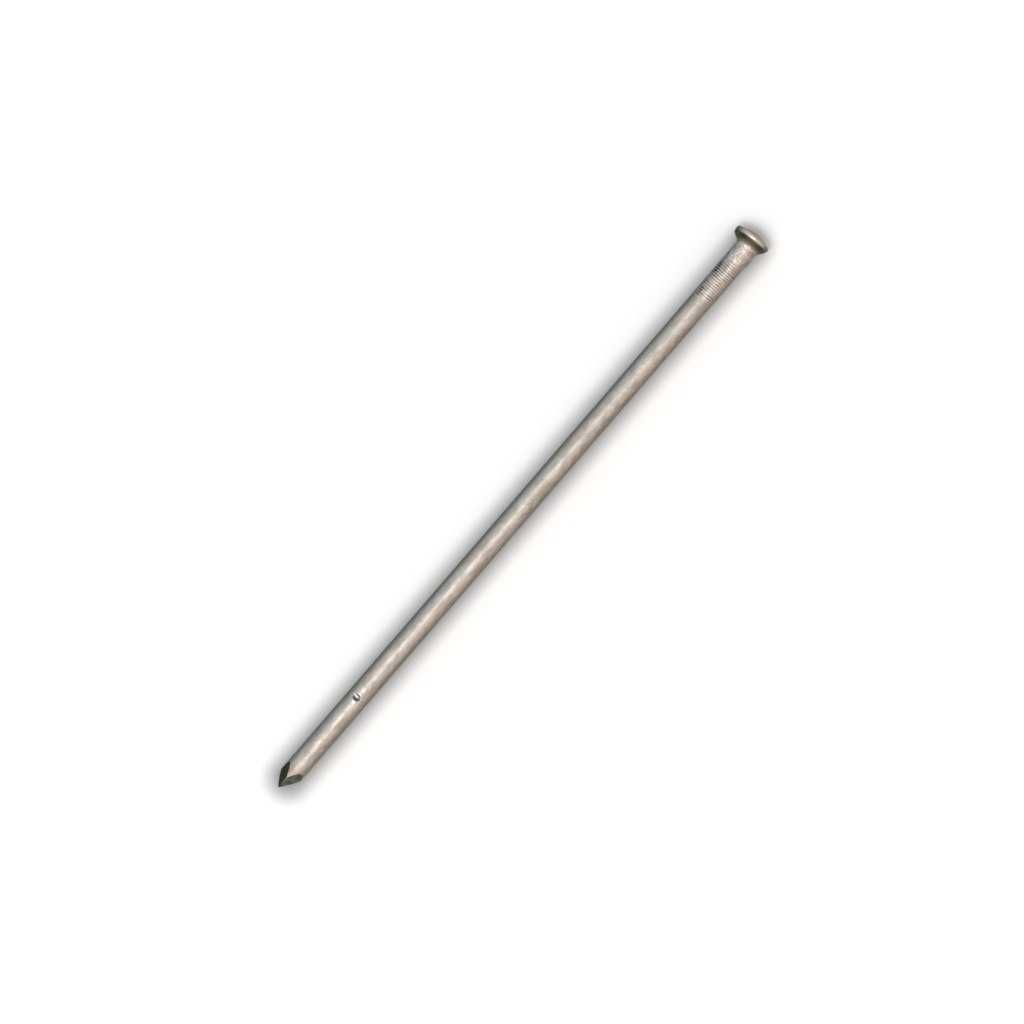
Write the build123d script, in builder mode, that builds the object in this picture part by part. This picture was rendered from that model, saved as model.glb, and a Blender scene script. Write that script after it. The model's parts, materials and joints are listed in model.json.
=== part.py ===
from build123d import *
import os
from math import cos, radians, sin, tan

# A round steel spike, twelve inches long, for pinning timbers and ties. It is ONE piece of wire:
# gripper dies hold the wire and leave rings in it, a punch upsets the head out of the wire's end,
# and two pairs of dies pinch the other end to a four-sided point.
#
# Lengths are millimetres and angles are degrees. The wire's axis is X, the origin is where the
# underside of the head meets the shank, and +X runs to the point. +Z is up as the spike lies.
# A roll is an angle about +X: 0 faces up, and a positive roll turns from +Z towards -Y.

# The wire and the whole spike
shank_diameter = 9.525          # three eighths of an inch
overall_length = 304.8          # twelve inches, from the crown of the head to the tip

# The upset head: an underside that flares into a cone, a rounded rim and a low conical crown
head_diameter = 16.4
head_offset = 0.65              # the punch strikes a little off the wire's axis, towards -Y
underside_angle = 58.5          # between the spike's axis and the conical underside
flare_radius = 3.2              # where the underside turns out of the neck
rim_height = 1.78
rim_round = 0.65
crown_angle = 17.0              # between the crown's slope and a plane square to the axis
crown_nose_radius = 10.0

# The neck, where the wire bulges between the gripper dies and the head
neck_length = 9.2
neck_swell = 0.10

# The rings that the two gripper dies leave, one die above and one below
ring_count = 18
ring_pitch = 1.13
ring_depth = 0.14
ring_width = 0.72
die_wrap = 166.0                # how far round the wire one die reaches
die_rolls = (0.0, 180.0)

# The pinched point: each face is slightly crowned, and the tip stands off the axis
tip_offset_y = -0.71
tip_offset_z = 0.40
face_radius = 44.0
face_roll_and_reach = (
    (55.0, 11.5),
    (140.0, 9.6),
    (-121.0, 11.3),
    (-43.0, 10.8),
)

# The nick that a round-edged feed tool leaves across the top of the shank
nick_to_tip = 50.0
nick_roll = 5.5
nick_depth = 0.42
nick_tool_radius = 3.0

# Sizes that follow from the ones above
shank_radius = shank_diameter / 2
head_radius = head_diameter / 2
seat_radius = shank_radius - head_offset
flare_run = flare_radius * tan(radians(underside_angle) / 2)
underside_height = (head_radius - seat_radius) / tan(radians(underside_angle))
crown_lean = radians(crown_angle)
crown_height = head_radius * tan(crown_lean) - crown_nose_radius * (1 / cos(crown_lean) - 1)
head_height = underside_height + rim_height + crown_height
tip_x = overall_length - head_height
rings_centre_x = neck_length + ring_width / 2 + ring_pitch * (ring_count - 1) / 2
cut_reach = 2 * shank_radius    # how far a cutting shape runs past the wire


def outward(roll):
    """The direction square to the axis at a roll."""
    return Vector(0, -sin(radians(roll)), cos(radians(roll)))


def side_plane(x, roll):
    """A plane through the axis at a roll: its own x runs to the point and its own y runs outward."""
    along = Vector(1, 0, 0)
    return Plane(origin=(x, 0, 0), x_dir=along, z_dir=along.cross(outward(roll)))


with BuildPart() as spike:
    # The wire, from inside the head to the tip, with its swollen neck
    with BuildSketch(side_plane(0, 0)):
        with BuildLine():
            swelling = ThreePointArc(
                (0, shank_radius),
                (neck_length / 2, shank_radius + neck_swell),
                (neck_length, shank_radius),
            )
            Polyline(
                swelling @ 1,
                (tip_x, shank_radius),
                (tip_x, 0),
                (-underside_height, 0),
                (-underside_height, shank_radius),
                swelling @ 0,
            )
        make_face()
    revolve(axis=Axis.X)

    # The head, turned about its own axis beside the wire's
    head_axis = Axis((0, -head_offset, 0), (1, 0, 0))
    with BuildSketch(Plane(origin=(0, -head_offset, 0), x_dir=(1, 0, 0), z_dir=(0, -1, 0))) as head:
        with BuildLine():
            turn = radians(underside_angle)
            flare_end = (-flare_run * cos(turn), seat_radius + flare_run * sin(turn))
            flare = TangentArc((flare_run, seat_radius), flare_end, tangent=(-1, 0))
            flank = Polyline(
                flare @ 1,
                (-underside_height, head_radius),
                (-underside_height - rim_height, head_radius),
            )
            nose_edge = crown_nose_radius * sin(crown_lean)
            slope_height = (head_radius - nose_edge) * tan(crown_lean)
            slope = Line(flank @ 1, (-underside_height - rim_height - slope_height, nose_edge))
            nose = TangentArc(slope @ 1, (-head_height, 0), tangent=slope % 1)
            Polyline(nose @ 1, (flare_run, 0), flare @ 0)
        make_face()
        rim_corners = head.vertices().group_by(Axis.Y)[-1]
        fillet(rim_corners, radius=rim_round)
    revolve(axis=head_axis)

    # The gripper rings: round-bottomed grooves, cut by each die as far as it reaches
    groove_radius = (ring_width**2 / 4 + ring_depth**2) / (2 * ring_depth)
    for roll in die_rolls:
        with BuildSketch(side_plane(rings_centre_x, roll - die_wrap / 2)):
            with Locations((0, shank_radius + groove_radius - ring_depth)):
                with GridLocations(ring_pitch, 0, ring_count, 1):
                    Circle(groove_radius)
        revolve(axis=Axis.X, revolution_arc=die_wrap, mode=Mode.SUBTRACT)

    # The four faces of the point, each cut from the tip back to its own reach
    for roll, reach in face_roll_and_reach:
        tip_height = Vector(0, tip_offset_y, tip_offset_z).dot(outward(roll))
        with BuildSketch(side_plane(tip_x, roll)):
            with BuildLine():
                face_line = RadiusArc((0, tip_height), (-reach, shank_radius), -face_radius)
                run_out = PolarLine(face_line @ 1, cut_reach, direction=face_line % 1)
                Polyline(run_out @ 1, (cut_reach, (run_out @ 1).Y), (cut_reach, tip_height), face_line @ 0)
            make_face()
        extrude(amount=cut_reach, both=True, mode=Mode.SUBTRACT)

    # The nick, a shallow round-bottomed cut across the shank
    with BuildSketch(side_plane(tip_x - nick_to_tip, nick_roll)):
        with Locations((0, shank_radius + nick_tool_radius - nick_depth)):
            Circle(nick_tool_radius)
    extrude(amount=cut_reach, both=True, mode=Mode.SUBTRACT)

spike.part.label = "spike"
os.makedirs("parts", exist_ok=True)
export_step(spike.part, "parts/spike.step")
print(f"spike: {spike.part.volume:.1f} mm3, head {head_height:.2f} mm high, tip at x {tip_x:.2f} mm")
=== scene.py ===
# %% [markdown]
# # A round steel spike
# This notebook gives a packed spike its finished surface. The real one is a single length of drawn
# steel wire. A machine grips the wire between two dies, strikes a head on its end and pinches the
# other end to a point, and every step leaves its mark in the metal. The lesson follows the same
# order: first the blank, then the head, the gripper marks, the nick and the point, then the steel.

# %% Load the frame
import json
import math

import bmesh
import bpy
from mathutils import Matrix, Vector, noise

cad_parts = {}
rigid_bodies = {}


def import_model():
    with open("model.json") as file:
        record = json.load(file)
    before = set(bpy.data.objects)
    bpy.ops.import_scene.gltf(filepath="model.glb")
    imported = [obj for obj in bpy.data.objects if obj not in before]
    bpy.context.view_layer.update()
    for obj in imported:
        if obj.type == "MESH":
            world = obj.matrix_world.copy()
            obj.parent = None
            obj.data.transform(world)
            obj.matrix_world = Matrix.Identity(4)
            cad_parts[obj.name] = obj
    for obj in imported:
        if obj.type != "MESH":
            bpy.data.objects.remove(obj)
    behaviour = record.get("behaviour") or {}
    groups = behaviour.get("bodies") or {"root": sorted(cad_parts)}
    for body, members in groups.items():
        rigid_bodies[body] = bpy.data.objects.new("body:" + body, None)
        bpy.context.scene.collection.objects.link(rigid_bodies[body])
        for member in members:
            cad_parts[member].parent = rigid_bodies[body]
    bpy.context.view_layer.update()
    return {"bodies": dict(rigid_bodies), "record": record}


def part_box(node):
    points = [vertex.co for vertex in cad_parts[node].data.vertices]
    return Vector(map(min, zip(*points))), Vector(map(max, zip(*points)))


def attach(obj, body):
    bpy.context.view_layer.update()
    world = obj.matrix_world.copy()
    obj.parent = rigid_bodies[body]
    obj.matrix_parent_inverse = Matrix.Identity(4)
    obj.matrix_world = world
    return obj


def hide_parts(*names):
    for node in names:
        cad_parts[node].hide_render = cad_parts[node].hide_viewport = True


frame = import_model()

# %% [markdown]
# ## The sizes that the frame settles
# The packed model says where the spike lies and how big it is, so those numbers are read from it
# and never typed again. Its axis is X, with the head at the low end and the tip at the high end.
# The shank's radius comes from the record's own mount. The head sits a little beside the axis, and
# the middle of the box says by how much, because nothing else reaches as far out as the head.

# %% Read the sizes
MM = 0.001
MICRON = 1e-6
box_low, box_high = (Vector(corner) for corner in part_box("spike"))
mounts = {mount["name"]: mount for mount in frame["record"]["mounts"]}
shank_radius = mounts["shank"]["dims"]["r_mm"] * MM
crown_x = box_low.x
tip_x = box_high.x
head_radius = (box_high.z - box_low.z) / 2
head_shift_y = (box_low.y + box_high.y) / 2
print(f"shank {2 * shank_radius / MM:.3f} mm, head {2 * head_radius / MM:.2f} mm, "
      f"head {head_shift_y / MM:.2f} mm off the axis, tip at {tip_x / MM:.1f} mm")

# %% [markdown]
# ## The blank
# Wire and head are both round, so one outline turned about the axis makes them in one closed skin.
# A cylinder with a cone joined on would leave a seam just where the light shows it up. The outline
# is a handful of corner points. Bevel rounds the corners, as it rounds a line's points when
# `affect` is VERTICES, and `subdivide_edges` then makes the steps fine where small marks will be
# pressed in, and coarse on the plain wire.

# %% Sizes of the head and of the marked stretches
underside_height = 2.5 * MM
rim_height = 1.78 * MM
under_round = 1.15 * MM
crown_round = 0.8 * MM
flare_round = 1.9 * MM
crown_lean = math.radians(17)
nose_radius = 10 * MM

neck_end = 9.2 * MM
ring_pitch = 1.13 * MM
ring_count = 18
rings_end = neck_end + ring_count * ring_pitch
nick_x = tip_x - 50.0 * MM
nick_half_zone = 7 * MM
point_start = tip_x - 13 * MM
blank_end = tip_x + 1 * MM
nose_steps = 6
corner_segments = 8
columns = 160
print(f"rings from {neck_end / MM:.1f} to {rings_end / MM:.1f} mm, nick at {nick_x / MM:.1f} mm")

# %% Draw the outline and turn it
def steps_for(x):
    """How long a step along the outline may be at x, from the size of what is pressed in there."""
    if x < 0:
        return 0.30 * MM
    if x < neck_end:
        return 0.20 * MM
    if x < rings_end:
        return ring_pitch / 10
    if abs(x - nick_x) < nick_half_zone:
        return 0.15 * MM
    return 1.6 * MM


blank = bmesh.new()
rim_top_x = -underside_height - rim_height
nose_angles = [crown_lean * step / nose_steps for step in range(nose_steps + 1)]
outline = [
    (crown_x + nose_radius * (1 - math.cos(angle)), nose_radius * math.sin(angle))
    for angle in nose_angles
]
rim_top = len(outline)
outline += [(rim_top_x, head_radius), (-underside_height, head_radius), (0, shank_radius)]
outline += [(x, shank_radius) for x in (
    neck_end, rings_end, nick_x - nick_half_zone, nick_x + nick_half_zone, point_start, blank_end)]
outline += [(blank_end, 0)]

dots = [blank.verts.new((x, 0, radius)) for x, radius in outline]
for start, end in zip(dots, dots[1:]):
    blank.edges.new((start, end))
for corner, offset in zip(dots[rim_top:], (crown_round, under_round, flare_round)):
    bmesh.ops.bevel(blank, geom=[corner], offset=offset, offset_type="OFFSET",
                    segments=corner_segments, profile=0.5, affect="VERTICES", material=-1)

for edge in list(blank.edges):
    middle_x = (edge.verts[0].co.x + edge.verts[1].co.x) / 2
    cuts = math.ceil(edge.calc_length() / steps_for(middle_x)) - 1
    if cuts > 0:
        bmesh.ops.subdivide_edges(blank, edges=[edge], cuts=cuts)

bmesh.ops.spin(blank, geom=blank.verts[:] + blank.edges[:], cent=(0, 0, 0), axis=(1, 0, 0),
               dvec=(0, 0, 0), angle=math.tau, steps=columns, use_merge=True)
bmesh.ops.remove_doubles(blank, verts=blank.verts, dist=1e-6)
print("blank:", len(blank.verts), "points,", len(blank.faces), "faces")

# %% [markdown]
# ## Pressing marks into the metal
# Each mark below is a small height over the surface, as a function of where a point is along the
# spike and how far round it. The operators can't say "swell by a tenth of a millimetre and wander
# a little", and a sculptor's brush isn't repeatable, so the points of the blank are moved in code.
# All marks are read off the same two numbers, which keeps them in place when a size changes.
# A roll of 0 faces up, and a roll of +90 degrees faces -Y.

# %% Helpers for the marks
def smooth(value, start, end):
    """0 before start, 1 after end, with an even bend between."""
    t = min(1.0, max(0.0, (value - start) / (end - start)))
    return t * t * (3 - 2 * t)


def between(value, start, end, soft):
    """1 from start to end, fading over soft on either side."""
    return smooth(value, start - soft, start + soft) * (1 - smooth(value, end - soft, end + soft))


def hump(distance, width):
    """A soft bump, 1 in the middle and nearly nothing two widths out."""
    return math.exp(-((distance / width) ** 2))


def wander(place, size, seed=0.0):
    """Smooth noise from about -1 to 1, with lumps of about that size."""
    return noise.noise(place / size + Vector((seed, seed * 0.7, -seed)))


def turn_from(roll, centre):
    """The shorter way round from one roll to another, in radians."""
    return (roll - centre + math.pi) % math.tau - math.pi


print("smooth from 0 to 1:", [round(smooth(step / 4, 0, 1), 2) for step in range(5)])

# %% [markdown]
# ### The neck and the flash
# Between the dies and the head the wire has nothing round it when the punch strikes, so it bulges
# and its skin wrinkles like orange peel. Where the two dies meet, a little metal squeezes out as
# flash. On this spike the flash is plain to see on one side of the neck.

# %% Heights of the neck and flash
neck_swell = 0.10 * MM
peel_height = 0.12 * MM
peel_start = 0.3 * MM
peel_end = neck_end + 1.5 * MM
coarse_lump = 1.5 * MM
fine_lump = 0.7 * MM
flash_side = math.radians(-90)
far_side = math.radians(90)
flash_start = 3.2 * MM
flash_end = 7.6 * MM
flash_crest = 0.42 * MM
flash_width = 1.0 * MM
flash_lump = 1.6 * MM
seam_height = 0.05 * MM
seam_width = 0.22 * MM


def neck_height(place):
    """The swell of the neck and its orange peel."""
    along = max(0.0, min(1.0, place.x / neck_end))
    swell = neck_swell * math.sin(math.pi * along)
    zone = between(place.x, peel_start, peel_end, 0.9 * MM)
    coarse = wander(place, coarse_lump, 3.1)
    fine = wander(place, fine_lump, 8.4)
    return swell + zone * peel_height * (coarse + 0.8 * fine)


def flash_height(place, roll):
    """The lumpy flash on one side of the neck, and a thin seam on both sides among the rings."""
    zone = between(place.x, flash_start, flash_end, 0.6 * MM)
    lumps = max(0.0, 0.55 + 1.1 * wander(Vector((place.x, 0, 0)), flash_lump, 5.5))
    near = hump(turn_from(roll, flash_side) * shank_radius, flash_width)
    height = flash_crest * zone * lumps * near
    seam = seam_height * between(place.x, neck_end, rings_end, 0.4 * MM)
    for side in (flash_side, far_side):
        height += seam * hump(turn_from(roll, side) * shank_radius, seam_width)
    return height


print(f"the neck swells by {neck_swell / MM:.2f} mm, the flash stands up to {flash_crest / MM:.2f} mm")

# %% [markdown]
# ### Fins under the head
# The same split in the dies leaves the underside of the head fuller on two opposite sides. There
# the hollow flare is filled out to a straight slope, which runs from the neck to near the rim.
# Each fin is named by its side, the place along the spike where it starts, and its slope.
# On the flash side the neck is also a little thin just where the fin starts.

# %% Heights of the fins
fins = (
    (flash_side, 1.1 * MM, 0.95),
    (far_side, 0.85 * MM, 1.10),
)
fin_half_width = math.radians(26)
fin_edge_radius = head_radius - 0.3 * MM
fin_fade = 0.6 * MM
thin_place = 2.4 * MM
thin_length = 1.1 * MM
thin_depth = 0.60 * MM


def fin_height(place, roll):
    """How far the fins stand over the round underside, less the thin place in the neck."""
    radius = math.hypot(place.y, place.z)
    height = 0.0
    for side, start, slope in fins:
        edge = min(shank_radius + (start - place.x) * slope, fin_edge_radius)
        height += max(0.0, edge - radius) * hump(turn_from(roll, side), fin_half_width)
    height *= smooth(place.x, -underside_height, -underside_height + fin_fade)
    thin = hump(place.x - thin_place, thin_length)
    thin *= hump(turn_from(roll, flash_side), 2 * fin_half_width)
    return height - thin_depth * thin


print(len(fins), "fins, each about", round(math.degrees(2 * fin_half_width)), "degrees wide")

# %% [markdown]
# ### The gripper rings
# The dies' ribs bite rings into the wire. No two bite alike: a rib is sharp here and worn there,
# and where the edge of the upper die digs in, the ring is a deep cut. A raised cosine, sharpened by
# a power, makes a narrow groove with a broader land beside it, as a ribbed die does. Some noise
# over the ring's number and the roll makes each one wax and wane as it goes round. A deep cut is
# given by where it starts and ends, its roll in radians, and how far it spreads to either side.

# %% Heights of the rings
ring_depth = 0.15 * MM
land_share = 0.2
groove_sharpness = 2.2
ring_drift = 0.24
die_half_wrap = math.radians(84)
die_edge_fade = 0.10
deep_cuts = (
    (12.0 * MM, 17.6 * MM, math.radians(56), 0.28),
    (25.2 * MM, 29.2 * MM, math.radians(42), 0.14),
)


def ring_marks(place, roll):
    """The height of the rings at a place, and how much darker its grooves are painted there, from 0 to
    1.
    """
    if not neck_end - ring_pitch < place.x < rings_end + ring_pitch:
        return 0.0, 0.0
    from_top = abs(turn_from(roll, 0.0))
    from_die = min(from_top, math.pi - from_top)
    gripped = 1 - smooth(from_die, die_half_wrap - die_edge_fade, die_half_wrap)
    gripped *= between(place.x, neck_end + 0.3 * MM, rings_end - 0.3 * MM, 0.6 * MM)
    drift = ring_drift * wander(Vector((place.x * 3, place.y, place.z)), 6 * MM, 1.7)
    turns = (place.x - neck_end) / ring_pitch + drift
    ring = math.floor(turns)
    groove = (0.5 - 0.5 * math.cos(math.tau * turns)) ** groove_sharpness
    bite = max(0.1, 0.85 + 1.15 * wander(Vector((ring * 7.3, roll * 1.4, from_top)), 1.0, 4.2))
    dug = 0.0
    for start, end, deep_roll, spread in deep_cuts:
        dug += between(place.x, start, end, 0.5 * MM) * hump(roll - deep_roll, spread)
    height = ring_depth * (land_share * (1 - groove) - (bite + 1.2 * dug) * groove)
    # The grooves and the deep cuts are painted darker.
    groove_darkness = min(1.0, groove * (0.38 * bite + 0.8 * dug) + 0.3 * dug)
    return gripped * height, gripped * groove_darkness


print(ring_count, "rings,", ring_pitch / MM, "mm apart, with", len(deep_cuts), "stretches of deep cuts")

# %% [markdown]
# ### The nick
# A round-edged feed tool was pressed across the wire. It leaves a shallow trough whose floor runs
# round across the shank, which is why its glint lies across the wire and not along it. The metal
# it pushed away stands up in a low lip on both sides, and the lips are painted bright, partly
# burnished wear and partly painted highlight. The walls of the trough are painted dark, partly dirt
# and partly painted shade, and the strip where its glint lies is left clean. Each lip is given by
# its distance from the nick, its width and its height.

# %% Height of the nick
nick_roll = math.radians(5.5)
nick_depth = 0.42 * MM
nick_tool_radius = 3.0 * MM
nick_half_length = math.sqrt(nick_tool_radius ** 2 - (nick_tool_radius - nick_depth) ** 2)
lips = (
    (1.95 * MM, 0.55 * MM, 0.11 * MM),
    (-2.10 * MM, 0.50 * MM, 0.05 * MM),
    (-4.55 * MM, 1.00 * MM, 0.10 * MM),
)
lip_half_length = 1.25 * MM
streak_shift = -0.35 * MM
streak_roll = math.radians(12)
streak_width = 0.5 * MM
streak_half_length = 1.1 * MM


def nick_marks(place, roll):
    """The height of the nick at a place, and how dark it is painted there from 0 to 1: partly dirt and
    partly painted shade.
    """
    from_nick = place.x - nick_x
    if abs(from_nick) > nick_half_zone:
        return 0.0, 0.0
    turn = turn_from(roll, nick_roll)
    height = 0.0
    for lip_place, width, lip_height in lips:
        across = hump(turn * shank_radius, lip_half_length)
        height += lip_height * hump(from_nick - lip_place, width) * across
    if abs(from_nick) < nick_tool_radius and abs(turn) < math.pi / 3:
        tool_sag = nick_tool_radius - math.sqrt(nick_tool_radius ** 2 - from_nick ** 2)
        floor_height = shank_radius - nick_depth + tool_sag
        height = min(height, floor_height / math.cos(turn) - shank_radius)
    # Painted shade: the walls of the nick are painted dark, partly dirt and partly shade; the streak
    # where the glint lies is left clean.
    inside = smooth(-height, 0.01 * MM, 0.12 * MM)
    streak = hump(from_nick - streak_shift, streak_width)
    streak *= hump(turn_from(roll, streak_roll) * shank_radius, streak_half_length)
    return height, inside * max(0.0, 1 - 1.2 * streak)


print(f"nick {2 * nick_half_length / MM:.2f} mm long and {nick_depth / MM:.2f} mm deep")

# %% [markdown]
# ### Pressing them in
# The head is struck a little off the axis, so its points also slide sideways, more and more from
# the neck up to the rim. The rim leans too, and it is thicker on its heavy side, -Y. Long shallow
# waves, a hundredth of a millimetre high, stay in the wire from its coil: too small to see as
# shape, but they break the long highlight as real wire does.

# %% Move the points of the blank
coil_wave = 0.010 * MM
coil_wave_size = 3.2 * MM
slide_end = 1.5 * MM
lean_end = 3 * MM
underside_lean = 0.045
crown_side_lean = 0.026
heavy_side_height = 0.50 * MM
heavy_side_start = 4.6 * MM
heavy_side_full = 7.6 * MM
grime = blank.verts.layers.float.new("grime")
rubbed = blank.verts.layers.float.new("rubbed")
for point in blank.verts:
    place = point.co.copy()
    radius = math.hypot(place.y, place.z)
    if radius < 1e-7:
        continue
    roll = math.atan2(-place.y, place.z)
    stretched = Vector((place.x * 0.25, place.y, place.z))
    height = coil_wave * wander(stretched, coil_wave_size, 2.2)
    height += fin_height(place, roll)
    if place.x > 0:
        ring, ring_grime = ring_marks(place, roll)
        nick, nick_grime = nick_marks(place, roll)
        height += neck_height(place) + flash_height(place, roll) + ring + nick
        point[grime] = max(ring_grime, nick_grime)
        # Raised lips and lands are painted bright later: partly burnished wear, partly painted
        # highlight.
        point[rubbed] = smooth(ring + nick, 0.01 * MM, 0.09 * MM)
    point.co.y *= 1 + height / radius
    point.co.z *= 1 + height / radius

for point in blank.verts:
    place = point.co
    struck = 1 - smooth(place.x, -underside_height, slide_end)
    under = smooth(place.x, rim_top_x, -underside_height)
    lean = crown_side_lean + (underside_lean - crown_side_lean) * under
    lean *= 1 - smooth(place.x, 0, lean_end)
    heavy = heavy_side_height * under * smooth(-place.y, heavy_side_start, heavy_side_full)
    place.x += heavy - lean * place.y
    place.y += head_shift_y * struck
marked = sum(point[grime] > 0.5 for point in blank.verts)
print("moved", len(blank.verts), "points, and", marked, "of them hold grime")

# %% [markdown]
# ## The point
# Two pairs of dies pinch the end to four faces. Each face is slightly crowned: it starts steep at
# the tip and runs out almost level on the shank. `bisect_plane` cuts the blank as a saw would and
# leaves crisp ridges, which moving points about can't do. Five tangent planes for each face, three
# or four degrees apart, stand for its crown, and smooth shading hides the steps between them.
# The faces that fill the cuts take the second material slot, because pinched metal looks different.

# %% Cut the four faces
tip_offset = Vector((0, -0.71 * MM, 0.40 * MM))
face_radius = 44 * MM
face_rolls_and_reaches = ((55, 11.5 * MM), (140, 9.6 * MM), (-121, 11.3 * MM), (-43, 10.8 * MM))
planes_per_face = 5
PINCHED = 1
along = Vector((1, 0, 0))


def cut(work, place, direction):
    """Saws off what lies beyond a plane and closes the cut with a face."""
    everything = work.verts[:] + work.edges[:] + work.faces[:]
    result = bmesh.ops.bisect_plane(work, geom=everything, dist=1e-7, plane_co=place,
                                    plane_no=direction, clear_outer=True)
    rim = [part for part in result["geom_cut"] if isinstance(part, bmesh.types.BMEdge)]
    for face in bmesh.ops.contextual_create(work, geom=rim)["faces"]:
        face.material_index = PINCHED


for roll_degrees, reach in face_rolls_and_reaches:
    roll = math.radians(roll_degrees)
    outward = Vector((0, -math.sin(roll), math.cos(roll)))
    tip_height = tip_offset.dot(outward)
    rise = shank_radius - tip_height
    chord_slope = math.atan2(rise, reach)
    half_turn = math.asin(math.hypot(reach, rise) / 2 / face_radius)
    steepest = chord_slope + half_turn
    for step in range(planes_per_face):
        slope = steepest - 2 * half_turn * step / (planes_per_face - 1)
        back = face_radius * (math.sin(steepest) - math.sin(slope))
        up = tip_height + face_radius * (math.cos(slope) - math.cos(steepest))
        place = (tip_x - back) * along + up * outward
        cut(blank, place, math.sin(slope) * along + math.cos(slope) * outward)
print(len(face_rolls_and_reaches), "faces cut, with", planes_per_face, "planes each")

# %% [markdown]
# ### A worn tip and sharp ridges
# A tip that comes to a mathematical point looks like a drawing. This one is cut off a tenth of a
# millimetre short. The edges round the pinched faces are marked sharp, so that smooth shading
# stops there, and everything else in the skin shades smoothly.

# %% Blunt the tip, mark the ridges and make the object
tip_wear = 0.12 * MM
merge_distance = 2e-6
cut(blank, (tip_x - tip_wear) * along, along)
ridge_angle = math.radians(8)
bmesh.ops.remove_doubles(blank, verts=blank.verts, dist=merge_distance)
bmesh.ops.recalc_face_normals(blank, faces=blank.faces)
for face in blank.faces:
    face.smooth = True
for edge in blank.edges:
    pinched = any(face.material_index == PINCHED for face in edge.link_faces)
    edge.smooth = not (pinched and edge.calc_face_angle(0) > ridge_angle)
open_edges = sum(not edge.is_manifold for edge in blank.edges)

spike_mesh = bpy.data.meshes.new("spike_steel")
blank.to_mesh(spike_mesh)
blank.free()
spike = bpy.data.objects.new("spike_steel", spike_mesh)
bpy.context.scene.collection.objects.link(spike)
spike_mesh.calc_loop_triangles()
print("spike:", len(spike_mesh.loop_triangles), "triangles,", open_edges, "open edges")

# %% [markdown]
# ## Shader maths in plain expressions
# A steel surface is a stack of small patterns added, multiplied and masked. Wiring Math nodes by
# hand hides what the sum is, so this small class wraps an output socket and lets Python's own
# operators add the nodes. `Recipe` holds one material: every other kind of node comes from its
# `node` method, with the node's settings first and then its sockets.

# %% The shader helpers
class Signal:
    """One output socket of a material, which arithmetic can be written with."""

    def __init__(self, recipe, socket):
        self.recipe = recipe
        self.socket = socket

    def math(self, operation, *others):
        values = dict(enumerate((self, *others)))
        return self.recipe.node("ShaderNodeMath", {"operation": operation}, values)

    def __add__(self, other):
        return self.math("ADD", other)

    def __sub__(self, other):
        return self.math("SUBTRACT", other)

    def __mul__(self, other):
        return self.math("MULTIPLY", other)

    def __rsub__(self, other):
        return self.recipe.node("ShaderNodeMath", {"operation": "SUBTRACT"}, {0: other, 1: self})

    __radd__ = __add__
    __rmul__ = __mul__

    def ramp(self, start, end, low=0.0, high=1.0):
        """low before start, high after end, with an even bend between."""
        return self.recipe.node("ShaderNodeMapRange", {"interpolation_type": "SMOOTHSTEP"}, {
            "Value": self, "From Min": start, "From Max": end, "To Min": low, "To Max": high})

    def band(self, start, end, soft):
        """1 from start to end, fading over soft on either side."""
        return self.ramp(start - soft, start + soft) * self.ramp(end - soft, end + soft, 1.0, 0.0)


class Recipe:
    """The shader of one material, or of the world, built node by node."""

    def __init__(self, owner, shader="Principled BSDF", coordinates="Object"):
        owner.use_nodes = True
        self.tree = owner.node_tree
        self.shader = self.tree.nodes[shader]
        self.place = Signal(self, self.tree.nodes.new("ShaderNodeTexCoord").outputs[coordinates])
        parts = self.tree.nodes.new("ShaderNodeSeparateXYZ")
        self.fill(parts.inputs[0], self.place)
        self.x, self.y, self.z = (Signal(self, socket) for socket in parts.outputs)

    def fill(self, socket, value):
        if isinstance(value, Signal):
            self.tree.links.new(value.socket, socket)
        else:
            socket.default_value = value

    def node(self, kind, settings, sockets, out=0):
        made = self.tree.nodes.new(kind)
        for name, value in settings.items():
            setattr(made, name, value)
        for name, value in sockets.items():
            self.fill(made.inputs[name], value)
        return Signal(self, made.outputs[out])

    def stretched(self, scale, shift=(0, 0, 0)):
        """Object coordinates, scaled by given amounts along each axis: small numbers make long marks.
        """
        sockets = {"Vector": self.place, "Scale": scale, "Location": shift}
        return self.node("ShaderNodeMapping", {}, sockets)

    def attribute(self, name):
        """A number painted on the points of the mesh."""
        return self.node("ShaderNodeAttribute", {"attribute_name": name}, {}, out="Fac")

    def noise(self, scale, detail=2.0, roughness=0.5, shift=(0, 0, 0)):
        """Noise whose lumps are about 1 / scale metres in each direction."""
        return self.node("ShaderNodeTexNoise", {}, {
            "Vector": self.stretched(scale, shift), "Scale": 1.0,
            "Detail": detail, "Roughness": roughness})

    def colour(self, amount, first, second):
        """first where amount is 0 and second where it is 1."""
        sockets = {"Factor": amount, 6: first, 7: second}
        return self.node("ShaderNodeMix", {"data_type": "RGBA"}, sockets, out=2)

    def finish(self, colour, roughness, height):
        """Plugs the colour, the roughness and a height in metres into the shader."""
        bump = self.node("ShaderNodeBump", {}, {"Height": height, "Distance": 1.0, "Strength": 1.0})
        self.fill(self.shader.inputs["Base Color"], colour)
        self.fill(self.shader.inputs["Roughness"], roughness)
        self.fill(self.shader.inputs["Normal"], bump)


def tone(red, green, blue):
    """A colour, with the fourth number that Blender's colour sockets want."""
    return (red, green, blue, 1.0)


print("shader helpers:", ", ".join(name for name in vars(Recipe) if not name.startswith("_")))

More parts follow.
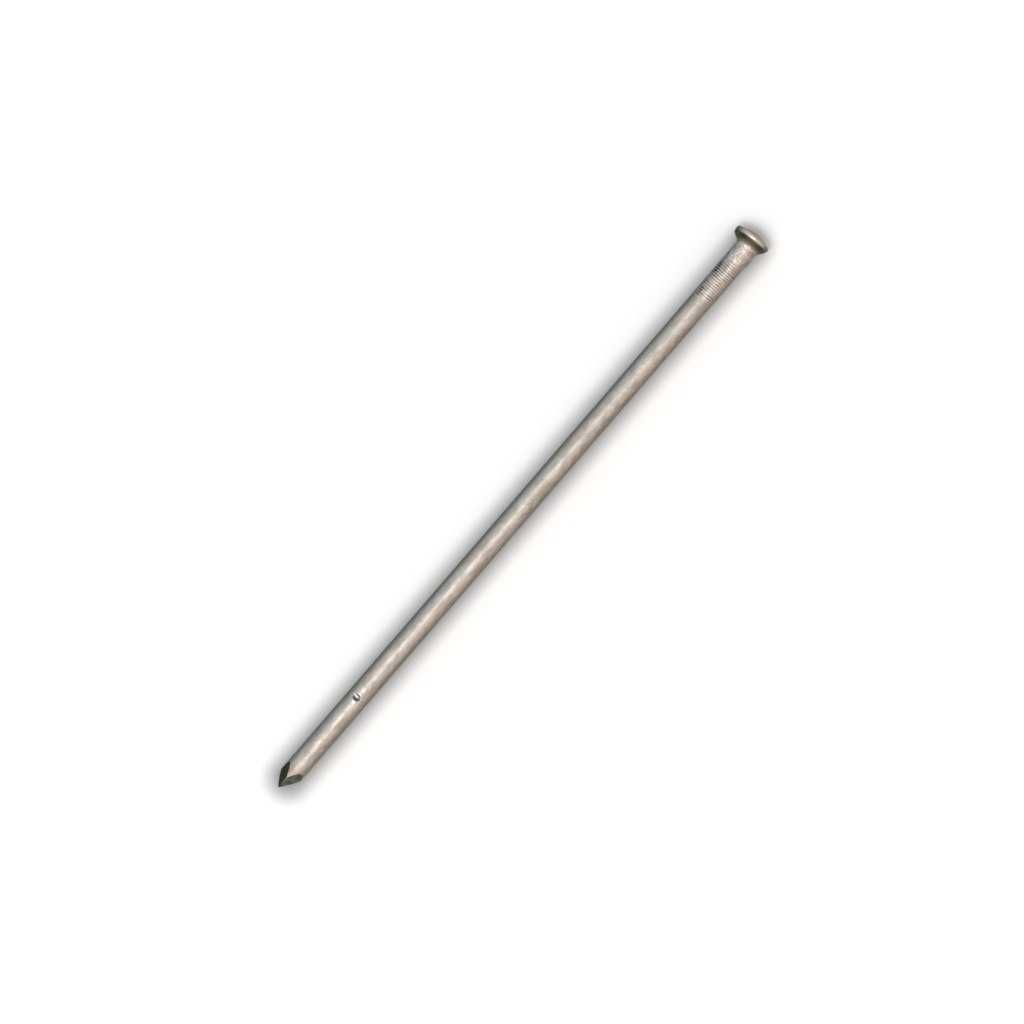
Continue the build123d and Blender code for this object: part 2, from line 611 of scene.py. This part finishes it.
# %% [markdown]
# ## Drawn and struck steel
# The wire's own skin is drawn through a die, then tumbled and left to age. Up close that is four
# things at once: fine lines along the wire, cloudy patches of clean and dulled metal, small dark
# pits, and brown tarnish by the point. The punch leaves the crown paler than the wire. The ends of
# its rim, which face sideways, are painted dull green-grey as painted shade, and the underside is
# brown, with painted shade deeper under the head and on its sides. One side of the wire is painted
# cooler and darker as painted shade. The grooves of the rings are painted darker, the walls of the
# nick are painted dark, partly dirt and partly painted shade, and its lips are painted bright,
# partly burnished wear and partly painted highlight. Each is a mask, and the masks only mix
# colours, shift the roughness or lift the surface by microns. The patterns come first, then the
# places, then the colours, and then the mixing.

# %% Patterns and places on the drawn steel
steel = Recipe(bpy.data.materials.new("drawn_steel"))
x, y, z = steel.x, steel.y, steel.z

clouds = steel.noise((140, 420, 420), detail=3.0, roughness=0.6)
patches = steel.noise((330, 500, 500), detail=3.0, roughness=0.6, shift=(3, 7, 1))
burnish = steel.noise((110, 420, 420), detail=2.0, shift=(9, 1, 4)).ramp(0.50, 0.70)
grain = steel.noise((1500, 1900, 1900), detail=2.0, roughness=0.6)
draw_lines = steel.noise((45, 3600, 3600), detail=2.0, roughness=0.7)
pits = steel.noise((1100, 1300, 1300), detail=1.0, shift=(5, 2, 9)).ramp(0.66, 0.74)
speckle = steel.noise((900, 1100, 1100), detail=2.0, roughness=0.7, shift=(2, 8, 6))
dirt_and_shade_mask = steel.attribute("grime")
worn_and_highlight = steel.attribute("rubbed")

beside = y.math("ABSOLUTE")
from_axis = (y * y + z * z).math("POWER", 0.5)
leaned_x = x + y * underside_lean
ragged_x = leaned_x + (speckle - 0.5) * (2.2 * MM)
tarnish_start = tip_x - 9.6 * MM
rough_start = tip_x - 50 * MM
rough_full = tip_x - 12 * MM

on_head = x.ramp(-2.3 * MM, -1.7 * MM, 1.0, 0.0)
on_neck = x.band(peel_start, neck_end, 1.2 * MM)
on_rings = x.band(neck_end, rings_end, 1.0 * MM)
# Painted shade: the -Y side of the wire is painted cooler and darker, for the way the light falls on
# it.
cool_shaded_side = y.ramp(-4.7 * MM, 1.5 * MM, 1.0, 0.0)
rim_middle = y.band(-6.2 * MM, 5.2 * MM, 1.4 * MM)
# Painted shade: the ends of the rim in Y, which face sideways, are painted dull green-grey.
shaded_rim_sides = on_head * rim_middle.ramp(0.0, 1.0, 1.0, 0.0)
underside = leaned_x.ramp(-2.75 * MM, -2.35 * MM) * ragged_x.ramp(0.9 * MM, -0.5 * MM)
underside_depth = ragged_x.ramp(-0.3 * MM, -1.6 * MM) * from_axis.ramp(4.9 * MM, 5.6 * MM)
# Painted shade: the underside is painted darker deeper under the head, and darker still on its sides in
# Y.
shade_under_head = underside * underside_depth
shaded_underside_sides = beside.band(3.2 * MM, 5.6 * MM, 1.2 * MM) * shade_under_head
past_point = (x - tarnish_start) + (beside - 2.4 * MM) * -1.6
tarnish = past_point.ramp(-0.5 * MM, 0.9 * MM) * z.ramp(1.0 * MM, 2.5 * MM)
near_point = x.ramp(rough_start, rough_full)
print("drawn steel: patterns and places made with", len(steel.tree.nodes), "nodes")

# %% Colours of the drawn steel, mixed one over the other
clean = tone(0.560, 0.515, 0.470)
dulled = tone(0.430, 0.400, 0.355)
rosy = tone(0.680, 0.585, 0.560)
cool = tone(0.430, 0.440, 0.415)
head_skin = tone(0.620, 0.570, 0.510)
rim_shade = tone(0.340, 0.340, 0.270)
bright = tone(0.740, 0.690, 0.670)
green_grime = tone(0.050, 0.060, 0.038)
violet_grime = tone(0.060, 0.050, 0.056)
umber = tone(0.300, 0.230, 0.180)
under_head_shade_tone = tone(0.185, 0.175, 0.115)
underside_side_shade_tone = tone(0.050, 0.050, 0.035)
pit_dark = tone(0.120, 0.110, 0.090)
brown = tone(0.430, 0.360, 0.280)
hollow_dark_tone = steel.colour(on_rings, violet_grime, green_grime)

body = steel.colour(clouds.ramp(0.38, 0.62), clean, dulled)
body = steel.colour(patches.ramp(0.50, 0.66) * 0.65, body, rosy)
# Painted shade: the -Y side is mixed towards the cool tone, less over the rings.
body = steel.colour(cool_shaded_side * (0.45 - on_rings * 0.30), body, cool)
body = steel.colour(burnish * 0.3, body, bright)
rosy_here = (on_neck + on_rings * 0.6) * patches.ramp(0.36, 0.54)
body = steel.colour(rosy_here * 0.85, body, rosy)
body = steel.colour(on_neck * speckle.ramp(0.48, 0.58) * 0.6, body, bright)
body = steel.colour(on_neck * speckle.ramp(0.46, 0.38) * 0.5, body, cool)
body = steel.colour(on_head * grain.ramp(0.30, 0.62, 1.0, 0.7), body, head_skin)
# Painted shade on the ends of the rim.
body = steel.colour(shaded_rim_sides * patches.ramp(0.30, 0.60, 0.9, 0.6), body, rim_shade)
body = steel.colour(pits * 0.3, body, pit_dark)
body = steel.colour(underside * grain.ramp(0.35, 0.70, 1.0, 0.8), body, umber)
# Painted shade under the head and on the sides of the underside.
body = steel.colour(shade_under_head * grain.ramp(0.35, 0.75, 1.0, 0.7), body, under_head_shade_tone)
body = steel.colour(shaded_underside_sides * speckle.ramp(0.35, 0.60, 0.9, 0.4), body, underside_side_shade_tone)
body = steel.colour(tarnish * patches.ramp(0.35, 0.60, 0.8, 0.4), body, brown)
# Partly burnished wear, partly painted highlight on raised metal.
body = steel.colour(worn_and_highlight * 0.8, body, bright)
# The grooves of the rings are painted darker, and the nick's walls painted dark, partly dirt and partly
# painted shade.
body = steel.colour(dirt_and_shade_mask * 0.93, body, hollow_dark_tone)

steel_roughness = 0.37 + near_point * 0.06 + clouds.ramp(0.35, 0.65) * 0.06
steel_roughness = steel_roughness + grain * 0.06 - burnish * 0.08
steel_roughness = steel_roughness - worn_and_highlight * 0.08 - on_head * 0.05 + on_neck * 0.04
steel_height = (draw_lines * 4.0 + grain * 7.0 + patches * 10.0 - pits * 14.0) * MICRON
steel_height = steel_height + (on_neck * grain) * (30 * MICRON)
steel.shader.inputs["Metallic"].default_value = 1.0
steel.finish(body, steel_roughness, steel_height)
print("drawn steel:", len(steel.tree.nodes), "nodes")

# %% [markdown]
# ## Pinched steel
# The dies shear the faces of the point, which tears and smears the metal: darker than the wire,
# with a cast of blue-green oil and scale, and lines where it was dragged towards the tip. The faces
# on the -Y side are painted darker still, as painted shade. The ridge between the two upper faces
# is worn bare, and widens from the tip up to the wire.

# %% The pinched steel
pinched = Recipe(bpy.data.materials.new("pinched_steel"))
smears = pinched.noise((160, 900, 900), detail=3.0, roughness=0.65)
blots = pinched.noise((560, 760, 760), detail=2.0, roughness=0.6, shift=(4, 4, 4))
specks = pinched.noise((1700, 2100, 2100), detail=2.0)
scale_and_shade_tone = tone(0.060, 0.064, 0.038)
oil_and_shade_tone = tone(0.105, 0.115, 0.072)
teal_tone = tone(0.205, 0.250, 0.225)
dim_teal_tone = tone(0.135, 0.142, 0.115)
bare_tone = tone(0.340, 0.300, 0.230)
ridge_tone = tone(0.600, 0.490, 0.410)

shaded_side = pinched.colour(blots.ramp(0.32, 0.68), scale_and_shade_tone, oil_and_shade_tone)
light_side = pinched.colour(blots.ramp(0.44, 0.60), teal_tone, dim_teal_tone)
# Painted shade: the faces on the -Y side take the darker tones.
skin = pinched.colour(pinched.y.ramp(-1.0 * MM, -0.4 * MM), shaded_side, light_side)
skin = pinched.colour(smears.ramp(0.54, 0.72) * 0.6, skin, bare_tone)
ridge_wear_end = tip_x - 2.4 * MM
ridge_y = -0.60 * MM
ridge_width = (ridge_wear_end - pinched.x) * 0.085
off_ridge = (pinched.y - ridge_y).math("ABSOLUTE")
on_ridge = (ridge_width - off_ridge).ramp(-0.12 * MM, 0.12 * MM)
on_ridge = on_ridge * pinched.z.ramp(1.0 * MM, 2.0 * MM)
skin = pinched.colour(on_ridge * 0.9, skin, ridge_tone)
pinched.shader.inputs["Metallic"].default_value = 1.0
pinched.finish(skin, 0.42 + specks * 0.14, (smears * 22.0 + specks * 10.0) * MICRON)

for name in ("drawn_steel", "pinched_steel"):
    spike_mesh.materials.append(bpy.data.materials[name])
print("materials:", [slot.name for slot in spike_mesh.materials])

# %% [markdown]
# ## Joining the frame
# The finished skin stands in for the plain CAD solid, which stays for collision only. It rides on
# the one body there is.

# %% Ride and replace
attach(spike, next(iter(frame["bodies"])))
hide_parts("spike")
print("spike_steel rides", next(iter(frame["bodies"])), "and stands for the node spike")

# %% [markdown]
# ## The floor
# The head is wider than the shank, so a spike on a flat floor rests on its rim and near its point,
# with its axis tipped by two thirds of a degree. The spike can't be moved from its frame, so the
# floor tips instead, until it just touches both. So wide a room leaves only a faint shade on it, so
# a painted shadow is put into the paper's colour close to the spike, and the steel doesn't reflect
# the paper.

# %% The floor that the spike lies on
rim_contact = Vector((-underside_height - rim_height / 2, 0, -head_radius))
shank_contact = Vector((tip_x - 11 * MM, 0, -shank_radius))
floor_half_size = 3.0
floor_slope = math.atan2(shank_contact.z - rim_contact.z, shank_contact.x - rim_contact.x)
floor_work = bmesh.new()
bmesh.ops.create_grid(floor_work, x_segments=1, y_segments=1, size=floor_half_size)
tip_over = Matrix.Translation(rim_contact) @ Matrix.Rotation(-floor_slope, 4, "Y")
bmesh.ops.transform(floor_work, matrix=tip_over, verts=floor_work.verts)
floor_mesh = bpy.data.meshes.new("floor")
floor_work.to_mesh(floor_mesh)
floor_work.free()
floor = bpy.data.objects.new("floor", floor_mesh)
floor.visible_glossy = False
bpy.context.scene.collection.objects.link(floor)
print(f"floor tipped by {math.degrees(floor_slope):.2f} degrees")

# %% The painted shadow on the paper round the spike
shade_low_x = -2 * MM
shade_high_x = tip_x - 5 * MM
shade_y = 0.25 * MM
shade_full = 3 * MM
shade_end = 13.8 * MM
grey_left = tone(0.444, 0.459, 0.468)
grey_right = tone(0.440, 0.464, 0.482)
white = tone(0.965, 0.990, 1.000)

paper = Recipe(bpy.data.materials.new("floor_paper"))
past_end = (paper.x - shade_high_x).math("MAXIMUM", shade_low_x - paper.x).math("MAXIMUM", 0.0)
off_axis = paper.y - shade_y
from_spike = (past_end * past_end + off_axis * off_axis).math("POWER", 0.5)
# Painted shadow: the paper is grey near the spike and white again by shade_end.
painted_shadow_tone = paper.colour(paper.y.ramp(-3 * MM, 3 * MM), grey_left, grey_right)
paper_tone = paper.colour(from_spike.ramp(shade_full, shade_end), painted_shadow_tone, white)
paper.fill(paper.shader.inputs["Base Color"], paper_tone)
paper.shader.inputs["Roughness"].default_value = 0.9
floor_mesh.materials.append(bpy.data.materials["floor_paper"])
print(f"the paper is white again {shade_end / MM:.1f} mm from the spike's axis")

# %% [markdown]
# ## Light and camera
# Bare steel shows the room, not itself. The room is bright overhead, dimmer at the horizon and dark
# below it, a little warmer on one side than on the other, so a round bar fades evenly from its top
# line to dark edges. One soft sun, high up and tipped towards the point, draws the bright line
# along the top and the glint in the nick. The camera looks straight down, turned so that the head
# points up to the right, from far enough away that both ends are seen nearly square on.

# %% The room and the sun
scene = bpy.context.scene
scene.view_settings.view_transform = "Standard"
scene.world = bpy.data.worlds.new("soft_room")
room = Recipe(scene.world, shader="Background", coordinates="Generated")
glow = 0.21 + room.z.ramp(-0.45, 0.15, 0.0, 0.32) + room.z.ramp(0.0, 1.0, 0.0, 0.51)
behind_head = room.x.ramp(-0.15, -0.55) * room.z.ramp(0.3, -0.1)
room.fill(room.shader.inputs["Strength"], glow + behind_head * 0.20)
sides = room.colour(room.y.ramp(-0.9, 0.9), tone(0.93, 0.95, 0.95), tone(1.06, 0.96, 0.88))
low_sides = room.colour(room.y.ramp(-0.9, 0.9), tone(0.72, 0.88, 0.81), tone(1.40, 1.44, 1.29))
light = room.colour(room.z.ramp(-0.05, -0.40), sides, low_sides)
room.fill(room.shader.inputs["Color"], room.colour(behind_head, light, tone(1.15, 1.00, 0.90)))

sun = bpy.data.lights.new("window", "SUN")
sun.energy = 0.70
sun.angle = math.radians(9)
sun.color = (1.0, 0.955, 0.975)
sun_holder = bpy.data.objects.new("window", sun)
sun_tilt = math.radians(18)
sun_aside = -0.015
sun_direction = Vector((math.sin(sun_tilt), sun_aside, math.cos(sun_tilt)))
sun_holder.rotation_euler = sun_direction.to_track_quat("Z", "Y").to_euler()
scene.collection.objects.link(sun_holder)
print("room:", len(room.tree.nodes), "nodes, sun tipped", round(math.degrees(sun_tilt)), "degrees")

# %% The camera
camera_height = 1.4
seen_width = 0.42665
from_tip = 150.46 * MM
beside_axis = -1.99 * MM
heading = math.radians(49.16)
camera = bpy.data.objects.new("camera", bpy.data.cameras.new("camera"))
camera.data.lens = camera.data.sensor_width * camera_height / seen_width
camera.location = (tip_x - from_tip, beside_axis, camera_height)
camera.rotation_euler = (0, 0, math.pi - heading)
camera.data.clip_start = 0.01
scene.collection.objects.link(camera)
scene.camera = camera
print(f"camera {camera_height} m above the axis, {camera.data.lens:.1f} mm lens")
